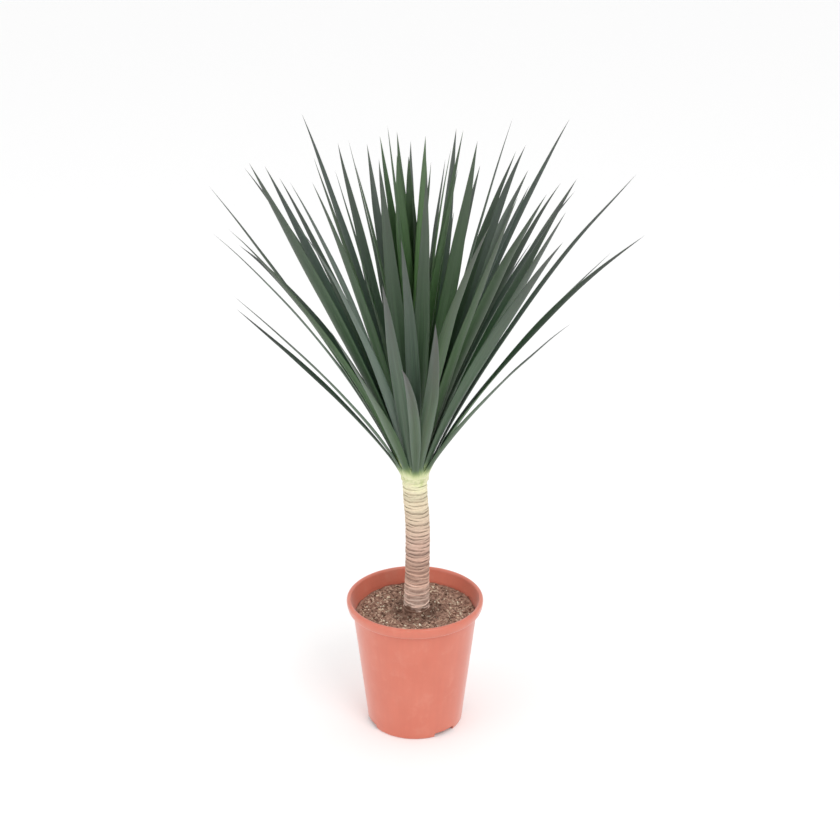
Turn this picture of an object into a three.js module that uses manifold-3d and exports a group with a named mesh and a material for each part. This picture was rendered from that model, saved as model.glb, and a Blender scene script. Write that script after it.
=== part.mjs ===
// A young dragon tree in a round plastic nursery pot: one bare ringed stem that
// carries a fan of stiff, sword-shaped leaves. Millimetres, +Z up, the front
// facing -Y, and the origin at the centre of the pot's underside.

import * as THREE from 'three';
import { mergeVertices } from 'three/addons/utils/BufferGeometryUtils.js';
import Module from 'manifold-3d';

const wasm = await Module();
wasm.setup();

const degrees = THREE.MathUtils.degToRad;

// ---------------------------------------------------------------- dimensions

const GAP = 0.35; // clearance kept between pieces that touch

// Pot: a 19 cm nursery pot with a rolled lip and a notched foot ring.
const POT_HEIGHT = 190;
const POT_SIDES = 48;
const LIP_RADIUS = 95;
const LIP_HEIGHT = 16; // from the overhang's shadow line to the crest
const LIP_CREST = 92; // radius of the highest ring
const WALL_TOP_RADIUS = 86.8;
const WALL_FOOT_RADIUS = 67;
const WALL_THICKNESS = 1.8;
const FOOT_HEIGHT = 7; // height of the underside of the floor plate
const FLOOR_THICKNESS = 2;
const FOOT_RING_WIDTH = 4.5;
const PAD_RADIUS = 15; // moulded pad in the middle of the underside
const NOTCH_HEIGHT = 6.5;
const NOTCH_WIDTH = 33;
const NOTCH_BEARINGS = [-158, -51.5, 22, 128]; // degrees from +X
const DRAIN_RADIUS = 4.5;
const DRAIN_CIRCLE = 56;

// Potting soil: fills the pot to a finger's breadth under the lip.
const SOIL_EDGE = 166;
const SOIL_MIDDLE = 170.5;
const SOIL_SLOPE = 0.03; // the surface rises gently to the back and the right

// Stem: a cane that is buried to its stump and ends in the dome the leaves sit on.
const STUMP_BOTTOM = 100;
const STEM_SIDES = 20;
const DOME_BOTTOM = 366;
const DOME_RADIUS = 16.5;
const DOME_HEIGHT = 62;

// Leaves, counted from the lowest and oldest to the youngest in the middle.
const SEPARATE_LEAVES = 56;
const JOINED_LEAVES = 12;
const LEAVES = SEPARATE_LEAVES + JOINED_LEAVES;
const GOLDEN_ANGLE = degrees(137.507764); // turn from each leaf to the next
const FIRST_BEARING = degrees(270);
const LEAF_STEP = 0.775; // climb up the dome from each leaf to the next
const LEAF_SEAT = 1.6; // distance of a leaf's middle from the dome
const LOWEST_LEAN = degrees(40.5); // measured from upright
const INNER_LEAN = degrees(2.5);
const LEAN_EASE = 0.8;
const SHEATH_LENGTH = 45; // how far a leaf holds to the stem before it leans out
const ARCH = degrees(11);
const DRIFT = degrees(9);
const ROLL = degrees(44);
const BEARING_SPREAD = degrees(7);
const LOWEST_LENGTH = 355;
const MIDDLE_LENGTH = 460;
const INNER_LENGTH = 400;
const OUTER_WIDTH = 17;
const INNER_WIDTH = 20;
const BASE_WIDTH_SHARE = 0.58;
const LEAF_THICKNESS = 1.6;
const TIP_THICKNESS = 0.7;
const CHANNEL = 0.15; // rise of the leaf's edges as a share of its width
const LEAF_STATIONS = 10;
const JOINED_STATIONS = 7;
const SPEAR_RADIUS = 7; // the rolled youngest leaf that the inner ones peel away from
const SPEAR_HEIGHT = 330;
const SPEAR_SIDES = 10;
const PEEL_START = 12; // height above the dome at which the first of them leaves the spear
const PEEL_STEP = 9;
const PEEL_SEAT = 2.5;
const PEEL_WIDTH_SHARE = 0.35;
const GROWTH_SEED = 1696; // picks this plant's own irregularities

// ----------------------------------------------------------------- materials

const potPlastic = new THREE.MeshStandardMaterial({ color: '#cf7a68', roughness: 0.42, metalness: 0 });
const soilMix = new THREE.MeshStandardMaterial({ color: '#4a3328', roughness: 0.95, metalness: 0 });
const caneBark = new THREE.MeshStandardMaterial({ color: '#b79a7e', roughness: 0.8, metalness: 0 });
const leafSkin = new THREE.MeshStandardMaterial({ color: '#4a6450', roughness: 0.45, metalness: 0 });
const youngLeafSkin = new THREE.MeshStandardMaterial({ color: '#4f7048', roughness: 0.45, metalness: 0 });

// ------------------------------------------------------------------- helpers

// Eases from 0 at the low limit to 1 at the high one.
function ease(low, high, value) {
  const share = THREE.MathUtils.clamp((value - low) / (high - low), 0, 1);
  return share * share * (3 - 2 * share);
}

// A repeatable irregularity from -1 to 1 for one trait of one leaf.
function vary(leaf, trait) {
  const wave = Math.sin(leaf * 12.9898 + trait * 78.233 + GROWTH_SEED) * 43758.5453;
  return 2 * (wave - Math.floor(wave)) - 1;
}

// Welds a closed geometry's vertices and hands it to the boolean library.
function toSolid(geometry) {
  const bare = geometry.clone();
  bare.deleteAttribute('normal');
  bare.deleteAttribute('uv');
  const welded = mergeVertices(bare, 1e-4);
  const corners = welded.index.array;
  const triangles = [];
  for (let first = 0; first < corners.length; first += 3) {
    const [a, b, c] = corners.subarray(first, first + 3);
    if (a !== b && b !== c && c !== a) triangles.push(a, b, c);
  }
  return new wasm.Manifold(new wasm.Mesh({
    numProp: 3,
    vertProperties: new Float32Array(welded.attributes.position.array),
    triVerts: new Uint32Array(triangles),
  }));
}

// Turns a solid back into a geometry that a mesh can show.
function toGeometry(solid) {
  const mesh = solid.getMesh();
  const geometry = new THREE.BufferGeometry();
  geometry.setAttribute('position', new THREE.BufferAttribute(mesh.vertProperties, 3));
  geometry.setIndex(new THREE.BufferAttribute(mesh.triVerts, 1));
  geometry.computeVertexNormals();
  return geometry;
}

// Skins matching rings of points and closes both ends with a fan to one point. The
// diagonals alternate, so both faces of a thin twisted blade bend the same way.
function skin(rings, startPoint, endPoint) {
  const sides = rings[0].length;
  const points = [startPoint, ...rings.flat(), endPoint];
  const last = points.length - 1;
  const corner = (ring, side) => 1 + ring * sides + (side % sides);
  const triangles = [];
  for (let side = 0; side < sides; side += 1) {
    triangles.push(0, corner(0, side + 1), corner(0, side));
    for (let ring = 0; ring + 1 < rings.length; ring += 1) {
      const [a, b] = [corner(ring, side), corner(ring, side + 1)];
      const [c, d] = [corner(ring + 1, side + 1), corner(ring + 1, side)];
      if (side % 2 === 0) triangles.push(a, b, c, a, c, d);
      else triangles.push(a, b, d, b, c, d);
    }
    triangles.push(corner(rings.length - 1, side), corner(rings.length - 1, side + 1), last);
  }
  const geometry = new THREE.BufferGeometry().setFromPoints(points);
  geometry.setIndex(triangles);
  geometry.computeVertexNormals();
  return geometry;
}

// Turns an outline of radius and height into a round solid that stands on Z.
function turned(path, curveSteps, sides = POT_SIDES) {
  const geometry = new THREE.LatheGeometry(path.getPoints(curveSteps), sides);
  geometry.rotateX(Math.PI / 2);
  return geometry;
}

// Radius of the pot's inner wall at a height.
function innerWall(height) {
  const climb = (height - FOOT_HEIGHT) / (POT_HEIGHT - LIP_HEIGHT - FOOT_HEIGHT);
  const outer = THREE.MathUtils.lerp(WALL_FOOT_RADIUS, WALL_TOP_RADIUS, climb);
  return outer - WALL_THICKNESS;
}

// ----------------------------------------------------------------------- pot

function potBody() {
  const lipBottom = POT_HEIGHT - LIP_HEIGHT;
  const floorTop = FOOT_HEIGHT + FLOOR_THICKNESS;
  const outline = new THREE.Path();
  outline.moveTo(0, 0);
  outline.lineTo(PAD_RADIUS, 0);
  outline.lineTo(PAD_RADIUS + 1.5, FOOT_HEIGHT);
  outline.lineTo(WALL_FOOT_RADIUS - FOOT_RING_WIDTH, FOOT_HEIGHT);
  outline.lineTo(WALL_FOOT_RADIUS - FOOT_RING_WIDTH + 1, 0);
  outline.lineTo(WALL_FOOT_RADIUS - 2.5, 0);
  outline.quadraticCurveTo(WALL_FOOT_RADIUS - 0.4, 0.3, WALL_FOOT_RADIUS, 4);
  outline.lineTo(WALL_TOP_RADIUS, lipBottom);
  outline.lineTo(LIP_RADIUS - 3, lipBottom + 0.5);
  outline.quadraticCurveTo(LIP_RADIUS - 1.2, lipBottom + 4, LIP_RADIUS, POT_HEIGHT - 4);
  outline.quadraticCurveTo(LIP_RADIUS, POT_HEIGHT, LIP_CREST, POT_HEIGHT);
  outline.quadraticCurveTo(LIP_CREST - 3.2, POT_HEIGHT, LIP_CREST - 3.6, POT_HEIGHT - 4);
  outline.lineTo(innerWall(lipBottom), lipBottom - 2);
  outline.lineTo(innerWall(floorTop), floorTop);
  outline.lineTo(0, floorTop);
  return toSolid(turned(outline, 3));
}

function potNotch(bearing) {
  const reach = 16;
  const block = new THREE.BoxGeometry(reach, NOTCH_WIDTH, 2 * NOTCH_HEIGHT);
  block.translate(WALL_FOOT_RADIUS, 0, 0);
  block.rotateZ(bearing);
  return toSolid(block);
}

function potDrain(bearing) {
  const drill = new THREE.CylinderGeometry(DRAIN_RADIUS, DRAIN_RADIUS, 4 * FLOOR_THICKNESS, 12);
  drill.rotateX(Math.PI / 2);
  drill.translate(DRAIN_CIRCLE, 0, FOOT_HEIGHT + FLOOR_THICKNESS / 2);
  drill.rotateZ(bearing);
  return toSolid(drill);
}

function makePot() {
  let pot = potBody();
  for (const bearing of NOTCH_BEARINGS.map(degrees)) {
    pot = pot.subtract(potNotch(bearing)).subtract(potDrain(bearing));
  }
  return toGeometry(pot);
}

// ---------------------------------------------------------------------- stem

// The cane leans a little as it climbs and comes back under its crown.
const stemAxis = new THREE.CatmullRomCurve3([
  new THREE.Vector3(1, 0, STUMP_BOTTOM),
  new THREE.Vector3(2, 0, SOIL_MIDDLE),
  new THREE.Vector3(4, 0, 290),
  new THREE.Vector3(1.5, 0, 345),
  new THREE.Vector3(0, 0, DOME_BOTTOM),
]);

// The cane's radius from the bottom of the stump, at share 0, to the dome.
function stemRadius(share) {
  const waist = 2.6 * Math.sin(Math.PI * ease(0.3, 1, share));
  const swell = 2.2 * (1 - ease(0.1, 0.55, share));
  return DOME_RADIUS + 0.4 + swell - 0.35 * waist;
}

// How far the dome's side is from its axis at a height above the dome's bottom.
function domeRadius(rise) {
  return DOME_RADIUS * Math.sqrt(Math.max(0, 1 - (rise / DOME_HEIGHT) ** 2));
}

function ringAround(centre, radius) {
  const ring = [];
  for (let side = 0; side < STEM_SIDES; side += 1) {
    const turn = (2 * Math.PI * side) / STEM_SIDES;
    ring.push(new THREE.Vector3(radius * Math.cos(turn), radius * Math.sin(turn), 0).add(centre));
  }
  return ring;
}

function makeStem(clearance = 0) {
  const caneStations = 12;
  const domeStations = 7;
  const rings = [];
  for (let step = 0; step <= caneStations; step += 1) {
    const share = step / caneStations;
    rings.push(ringAround(stemAxis.getPoint(share), stemRadius(share) + clearance));
  }
  for (let step = 1; step < domeStations; step += 1) {
    const rise = DOME_HEIGHT * Math.sin((Math.PI / 2) * (step / domeStations));
    rings.push(ringAround(new THREE.Vector3(0, 0, DOME_BOTTOM + rise), domeRadius(rise) + clearance));
  }
  const stump = new THREE.Vector3(1, 0, STUMP_BOTTOM - clearance);
  const tip = new THREE.Vector3(0, 0, DOME_BOTTOM + DOME_HEIGHT + clearance);
  return skin(rings, stump, tip);
}

// ---------------------------------------------------------------------- soil

function makeSoil() {
  const bottom = FOOT_HEIGHT + FLOOR_THICKNESS + GAP;
  const outline = new THREE.Path();
  outline.moveTo(0, bottom);
  outline.lineTo(innerWall(bottom) - GAP, bottom);
  outline.lineTo(innerWall(SOIL_EDGE) - GAP, SOIL_EDGE);
  outline.lineTo(0.6 * LIP_CREST, SOIL_EDGE + 1);
  outline.lineTo(0.35 * LIP_CREST, SOIL_EDGE + 2);
  outline.lineTo(0, SOIL_MIDDLE);
  const mound = turned(outline, 1);
  const points = mound.attributes.position;
  for (let index = 0; index < points.count; index += 1) {
    const height = points.getZ(index);
    const inWall = 1 - Math.hypot(points.getX(index), points.getY(index)) / LIP_RADIUS;
    const slope = SOIL_SLOPE * (0.7 * points.getX(index) + points.getY(index)) * ease(0, 0.5, inWall);
    if (height > SOIL_EDGE - 1) points.setZ(index, height + slope);
  }
  return toGeometry(toSolid(mound).subtract(toSolid(makeStem(GAP))));
}

// -------------------------------------------------------------------- leaves

// A point at a distance from a start, along a lean from upright and a bearing.
function reachFrom(start, distance, lean, bearing) {
  const outward = distance * Math.sin(lean);
  return new THREE.Vector3(
    start.x + outward * Math.cos(bearing),
    start.y + outward * Math.sin(bearing),
    start.z + distance * Math.cos(lean),
  );
}

// Where one leaf grows and the midrib that it follows.
function leafGrowth(index) {
  const youth = index / (LEAVES - 1);
  const joined = index >= SEPARATE_LEAVES;
  const peel = PEEL_START + PEEL_STEP * (index - SEPARATE_LEAVES);
  const rise = joined ? DOME_HEIGHT + peel : LEAF_STEP * index;
  const seat = joined ? PEEL_SEAT : domeRadius(rise) + LEAF_SEAT;
  const bearing = FIRST_BEARING + index * GOLDEN_ANGLE + BEARING_SPREAD * vary(index, 1);
  const spread = INNER_LEAN + (LOWEST_LEAN - INNER_LEAN) * (1 - youth) ** LEAN_EASE;
  const lean = spread * (1 + 0.05 * vary(index, 6));
  const arch = ARCH * (1 - youth) * (1 + 0.6 * vary(index, 3));
  const drift = DRIFT * vary(index, 4);
  const grown = LOWEST_LENGTH + (MIDDLE_LENGTH - LOWEST_LENGTH) * ease(0, 0.3, youth);
  const full = grown - (MIDDLE_LENGTH - INNER_LENGTH) * ease(0.5, 1, youth);
  const length = (full - (joined ? peel : 0)) * (1 + 0.1 * vary(index, 2));
  const broad = OUTER_WIDTH + (INNER_WIDTH - OUTER_WIDTH) * ease(0.1, 0.6, youth);
  const base = new THREE.Vector3(seat * Math.cos(bearing), seat * Math.sin(bearing), DOME_BOTTOM + rise);
  const midrib = new THREE.CubicBezierCurve3(
    base,
    reachFrom(base, SHEATH_LENGTH, (joined ? 1 : 0.4) * lean, bearing),
    reachFrom(base, 0.6 * length, lean - 0.6 * arch, bearing + 0.3 * drift),
    reachFrom(base, length, lean + 0.2 * arch, bearing + drift),
  );
  const width = broad * (1 + 0.12 * vary(index, 5));
  const baseShare = joined ? PEEL_WIDTH_SHARE : BASE_WIDTH_SHARE;
  return { midrib, width, baseShare, roll: ROLL * vary(index, 7) };
}

// The blade's width along its length: a clasping base, an even strap, a long point.
function widthShare(along, baseShare) {
  const opening = baseShare + (1 - baseShare) * ease(0, 0.3, along);
  const taper = Math.max(0, (along - 0.45) / 0.55) ** 1.7;
  return opening * (1 - taper);
}

// The four corners of a blade's section: an edge, the keel, an edge and the groove.
function leafSection(growth, along) {
  const centre = growth.midrib.getPoint(along);
  const forward = growth.midrib.getTangent(along);
  const level = new THREE.Vector3(0, 0, 1).cross(forward).normalize();
  const inward = forward.clone().cross(level);
  const roll = growth.roll * ease(0.12, 0.72, along);
  const across = level.clone().multiplyScalar(Math.cos(roll)).addScaledVector(inward, Math.sin(roll));
  const up = forward.clone().cross(across);
  const half = 0.5 * growth.width * widthShare(along, growth.baseShare);
  const thick = THREE.MathUtils.lerp(LEAF_THICKNESS, TIP_THICKNESS, along);
  const lift = 2 * CHANNEL * half;
  const at = (side, height) => centre.clone().addScaledVector(across, side).addScaledVector(up, height);
  return [at(-half, lift), at(0, -thick / 2), at(half, lift), at(0, thick / 2)];
}

function makeLeaf(index, stations = LEAF_STATIONS) {
  const growth = leafGrowth(index);
  const rings = [];
  for (let step = 0; step < stations; step += 1) {
    rings.push(leafSection(growth, (step / stations) ** 1.1));
  }
  return skin(rings, growth.midrib.getPoint(0), growth.midrib.getPoint(1));
}

// The youngest leaves still clasp one rolled spear, so they are one piece.
function makeYoungLeaves() {
  const bottom = DOME_BOTTOM + DOME_HEIGHT + 2 * GAP;
  const outline = new THREE.Path();
  outline.moveTo(0, bottom);
  outline.lineTo(SPEAR_RADIUS, bottom);
  outline.quadraticCurveTo(0.9 * SPEAR_RADIUS, bottom + 0.5 * SPEAR_HEIGHT, 0, bottom + SPEAR_HEIGHT);
  let bundle = toSolid(turned(outline, 5, SPEAR_SIDES));
  for (let index = SEPARATE_LEAVES; index < LEAVES; index += 1) {
    bundle = bundle.add(toSolid(makeLeaf(index, JOINED_STATIONS)));
  }
  // Pockets shut in between clasping leaves are filled: only the outer skin is kept.
  const shells = bundle.decompose().sort((one, other) => other.volume() - one.volume());
  return toGeometry(shells[0]);
}

// ------------------------------------------------------------------ assembly

const plant = new THREE.Group();

function addPiece(name, geometry, material) {
  const mesh = new THREE.Mesh(geometry, material);
  mesh.name = name;
  plant.add(mesh);
}

addPiece('pot', makePot(), potPlastic);
addPiece('soil', makeSoil(), soilMix);
addPiece('stem', makeStem(), caneBark);
for (let index = 0; index < SEPARATE_LEAVES; index += 1) {
  addPiece(`leaf_${String(index + 1).padStart(2, '0')}`, makeLeaf(index), leafSkin);
}
addPiece('young_leaves', makeYoungLeaves(), youngLeafSkin);

export default plant;
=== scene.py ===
# %% [markdown]
# # A potted dragon tree
# This lesson dresses a measured model of a young dragon tree in a plastic nursery pot. The
# measured model is the fixed frame: it says where the pot, the soil, the stem and every leaf are.
# Each step below makes one visible piece in the place of its plain solid, or one finish.

# %% Load the fixed frame
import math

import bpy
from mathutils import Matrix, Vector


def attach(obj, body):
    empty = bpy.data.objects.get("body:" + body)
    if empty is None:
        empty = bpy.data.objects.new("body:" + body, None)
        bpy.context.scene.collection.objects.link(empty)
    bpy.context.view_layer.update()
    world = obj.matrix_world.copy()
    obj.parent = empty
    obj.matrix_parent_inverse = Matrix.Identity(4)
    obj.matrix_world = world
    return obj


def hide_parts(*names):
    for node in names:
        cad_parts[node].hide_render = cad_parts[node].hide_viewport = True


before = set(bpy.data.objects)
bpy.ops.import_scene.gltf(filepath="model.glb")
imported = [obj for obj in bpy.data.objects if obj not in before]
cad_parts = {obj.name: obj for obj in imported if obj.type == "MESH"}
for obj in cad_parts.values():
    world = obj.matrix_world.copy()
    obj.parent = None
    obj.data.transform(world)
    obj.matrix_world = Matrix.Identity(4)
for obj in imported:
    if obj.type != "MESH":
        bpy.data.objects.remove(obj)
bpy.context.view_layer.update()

# %% [markdown]

# %% [markdown]
# ## Two helpers for node trees
# A material and a Geometry Nodes tree are both made of nodes, so one function adds a node to
# either: its settings are plain properties, and its inputs take a number or another node's output.
# Colours are written as the sRGB hex values that a paint chart gives, and turned to linear light.

# %% Helpers for nodes and colours
MM = 0.001
MATH, MIX, VECTOR_MATH = "ShaderNodeMath", "ShaderNodeMix", "ShaderNodeVectorMath"
RANGE, COMBINE, SEPARATE = "ShaderNodeMapRange", "ShaderNodeCombineXYZ", "ShaderNodeSeparateXYZ"
NOISE, POSITION = "ShaderNodeTexNoise", "GeometryNodeInputPosition"
STORE, RECALL = "GeometryNodeStoreNamedAttribute", "GeometryNodeInputNamedAttribute"


def add(tree, kind, feeds=None, **settings):
    """Adds one node with its settings, and feeds its inputs from numbers or from other nodes."""
    node = tree.nodes.new(kind)
    for setting, value in settings.items():
        setattr(node, setting, value)
    for socket, source in (feeds or {}).items():
        if isinstance(source, bpy.types.Node):
            source = next(output for output in source.outputs if output.enabled)
        if isinstance(source, bpy.types.NodeSocket):
            tree.links.new(source, node.inputs[socket])
        else:
            node.inputs[socket].default_value = source
    return node


def paint(hex_colour):
    """Turns an sRGB hex colour to the linear RGBA that sockets take."""
    channels = [int(hex_colour[place:place + 2], 16) / 255 for place in (1, 3, 5)]
    linear = [c / 12.92 if c <= 0.04045 else ((c + 0.055) / 1.055) ** 2.4 for c in channels]
    return (*linear, 1.0)


def ramp(tree, fac, stops):
    """Adds a colour ramp with the given (position, hex colour) stops."""
    node = add(tree, "ShaderNodeValToRGB", {0: fac})
    while len(node.color_ramp.elements) < len(stops):
        node.color_ramp.elements.new(1.0)
    for element, (position, colour) in zip(node.color_ramp.elements, stops):
        element.position = position
        element.color = paint(colour)
    return node


def new_material(name):
    """Starts a material and returns it with its tree and its Principled shader."""
    material = bpy.data.materials.new(name)
    material.use_nodes = True
    tree = material.node_tree
    return material, tree, tree.nodes["Principled BSDF"]


# %% [markdown]
# ## Helpers for Geometry Nodes
# Every repeated or rule-shaped piece comes from a tree with named inputs. `make` runs such a tree
# once on an empty mesh, keeps the result as a plain mesh, and throws the live tree away, so what is
# left is an ordinary object whose place is in its mesh.

# %% Helpers for geometry trees
SOCKETS = {float: "NodeSocketFloat", int: "NodeSocketInt", Vector: "NodeSocketVector",
           bpy.types.Material: "NodeSocketMaterial"}


def new_geometry_tree(name, inputs):
    """Starts a geometry tree with one named input for each size in the dictionary."""
    tree = bpy.data.node_groups.new(name, "GeometryNodeTree")
    for label, value in inputs.items():
        kind = next(socket for sort, socket in SOCKETS.items() if isinstance(value, sort))
        socket = tree.interface.new_socket(label, in_out="INPUT", socket_type=kind)
        if not isinstance(value, bpy.types.Material):
            socket.default_value = value
    tree.interface.new_socket("Mesh", in_out="OUTPUT", socket_type="NodeSocketGeometry")
    return tree, tree.nodes.new("NodeGroupInput").outputs


def close_tree(tree, geometry, material):
    """Ends a geometry tree: copies become real, the finish is set, and the mesh goes out."""
    real = add(tree, "GeometryNodeRealizeInstances", {0: geometry})
    finished = add(tree, "GeometryNodeSetMaterial", {"Geometry": real, "Material": material})
    add(tree, "NodeGroupOutput", {0: finished})


def make(name, tree, sizes):
    """Runs a geometry tree once and returns the result as a plain object."""
    holder = bpy.data.objects.new(f"{name}_tree", bpy.data.meshes.new(f"{name}_start"))
    bpy.context.scene.collection.objects.link(holder)
    modifier = holder.modifiers.new("tree", "NODES")
    modifier.node_group = tree
    sockets = {item.name: item.identifier for item in tree.interface.items_tree if item.in_out == "INPUT"}
    for label, value in sizes.items():
        modifier[sockets[label]] = value
    graph = bpy.context.evaluated_depsgraph_get()
    mesh = bpy.data.meshes.new_from_object(holder.evaluated_get(graph), depsgraph=graph)
    bpy.data.objects.remove(holder)
    mesh.name = name
    piece = bpy.data.objects.new(name, mesh)
    bpy.context.scene.collection.objects.link(piece)
    return piece


def turn_out(piece):
    """Turns a closed piece's faces outwards, if its volume says that they point inwards."""
    mesh = piece.data
    mesh.calc_loop_triangles()
    corners = [vertex.co for vertex in mesh.vertices]
    volume = sum(corners[a].dot(corners[b].cross(corners[c])) for a, b, c in
                 (triangle.vertices for triangle in mesh.loop_triangles))
    if volume < 0:
        mesh.flip_normals()
    return volume / 6


def settle(piece, slot, *nodes):
    """Puts a finished piece on the plant's one body, in the place of the frame's plain solids."""
    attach(piece, "root")
    if nodes:
        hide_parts(*nodes)


# %% [markdown]
# ## The plant's growth rule
# A dragon tree adds its leaves one by one, each a golden angle round from the last. The oldest sit
# lowest and lean out most, and the youngest stand upright round a rolled spear. The frame's solids
# were made with this rule, so the same rule and sizes give each visible blade its right place.
# Sizes are in millimetres here, as on the frame's drawing, and turned to metres when a blade grows.

# %% Sizes of the growth rule
DOME_BOTTOM, DOME_RADIUS, DOME_HEIGHT = 366, 16.5, 62
SEPARATE_LEAVES, JOINED_LEAVES = 56, 12
LEAVES = SEPARATE_LEAVES + JOINED_LEAVES
GOLDEN_ANGLE = math.radians(137.507764)
FIRST_BEARING = math.radians(270)
LEAF_STEP, LEAF_SEAT, SHEATH_LENGTH = 0.775, 1.6, 45
LOWEST_LEAN, INNER_LEAN, LEAN_EASE = math.radians(40.5), math.radians(2.5), 0.8
ARCH, DRIFT, ROLL = math.radians(11), math.radians(9), math.radians(44)
BEARING_SPREAD = math.radians(7)
LOWEST_LENGTH, MIDDLE_LENGTH, INNER_LENGTH = 355, 460, 400
OUTER_WIDTH, INNER_WIDTH = 17, 20
BASE_WIDTH_SHARE, PEEL_WIDTH_SHARE = 0.58, 0.35
PEEL_START, PEEL_STEP, PEEL_SEAT = 12, 9, 2.5
# The lowest sheaths are hidden by the collar: those that start within the first millimetres of the
# dome all start at one height behind it, and the next few start a little higher.
COLLAR_LIFT, COLLAR_BAND, COLLAR_REACH = 9, 14, 20
GROWTH_SEED = 1696


def ease(low, high, value):
    """Eases from 0 at the low limit to 1 at the high one."""
    share = min(1, max(0, (value - low) / (high - low)))
    return share * share * (3 - 2 * share)


def vary(leaf, trait):
    """A repeatable irregularity from -1 to 1 for one trait of one leaf."""
    wave = math.sin(leaf * 12.9898 + trait * 78.233 + GROWTH_SEED) * 43758.5453
    return 2 * (wave - math.floor(wave)) - 1


def reach(start, distance, lean, bearing):
    """The point at a distance from a start, along a lean from upright and a bearing."""
    outward = distance * math.sin(lean)
    upward = distance * math.cos(lean)
    return start + Vector((outward * math.cos(bearing), outward * math.sin(bearing), upward))


def leaf_growth(index):
    """The sizes and the midrib's four control points of one leaf, in metres."""
    youth = index / (LEAVES - 1)
    joined = index >= SEPARATE_LEAVES
    peel = PEEL_START + PEEL_STEP * (index - SEPARATE_LEAVES)
    rise = DOME_HEIGHT + peel if joined else LEAF_STEP * index
    dome = DOME_RADIUS * math.sqrt(max(0, 1 - (rise / DOME_HEIGHT) ** 2))
    seat = PEEL_SEAT if joined else dome + LEAF_SEAT
    bearing = FIRST_BEARING + index * GOLDEN_ANGLE + BEARING_SPREAD * vary(index, 1)
    spread = INNER_LEAN + (LOWEST_LEAN - INNER_LEAN) * (1 - youth) ** LEAN_EASE
    lean = spread * (1 + 0.05 * vary(index, 6))
    arch = ARCH * (1 - youth) * (1 + 0.6 * vary(index, 3))
    drift = DRIFT * vary(index, 4)
    grown = LOWEST_LENGTH + (MIDDLE_LENGTH - LOWEST_LENGTH) * ease(0, 0.3, youth)
    full = grown - (MIDDLE_LENGTH - INNER_LENGTH) * ease(0.5, 1, youth)
    length = (full - (peel if joined else 0)) * (1 + 0.1 * vary(index, 2))
    broad = OUTER_WIDTH + (INNER_WIDTH - OUTER_WIDTH) * ease(0.1, 0.6, youth)
    base = Vector((seat * math.cos(bearing), seat * math.sin(bearing), DOME_BOTTOM + rise))
    tuck = min(rise, COLLAR_BAND) - COLLAR_LIFT if rise < COLLAR_REACH else 0
    return {
        "Base": (base - Vector((0, 0, tuck))) * MM,
        "Sheath end": reach(base, SHEATH_LENGTH, (1 if joined else 0.4) * lean, bearing) * MM,
        "Bend": reach(base, 0.6 * length, lean - 0.6 * arch, bearing + 0.3 * drift) * MM,
        "Tip": reach(base, length, lean + 0.2 * arch, bearing + drift) * MM,
        "Width": broad * (1 + 0.12 * vary(index, 5)) * MM,
        "Base share": PEEL_WIDTH_SHARE if joined else BASE_WIDTH_SHARE,
        "Roll": ROLL * vary(index, 7),
        "Age": 1 - youth,
        "Tone": 0.5 + 0.5 * vary(index, 8),
    }


# %% [markdown]
# ## The leaf's skin
# A dragon tree leaf is stiff and leathery. A thin wax bloom turns its deep green to a greyish,
# slightly bluish green, most of all on the underside, and its fine parallel veins draw faint lines
# along it. The base that clasps the stem has little green in it and is cream to yellow-green, and
# the old tips dry to a dull purplish grey. All of that follows the leaf, so the pattern reads the
# blade's own attributes: how far along and across it a point lies, and on which side.

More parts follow.
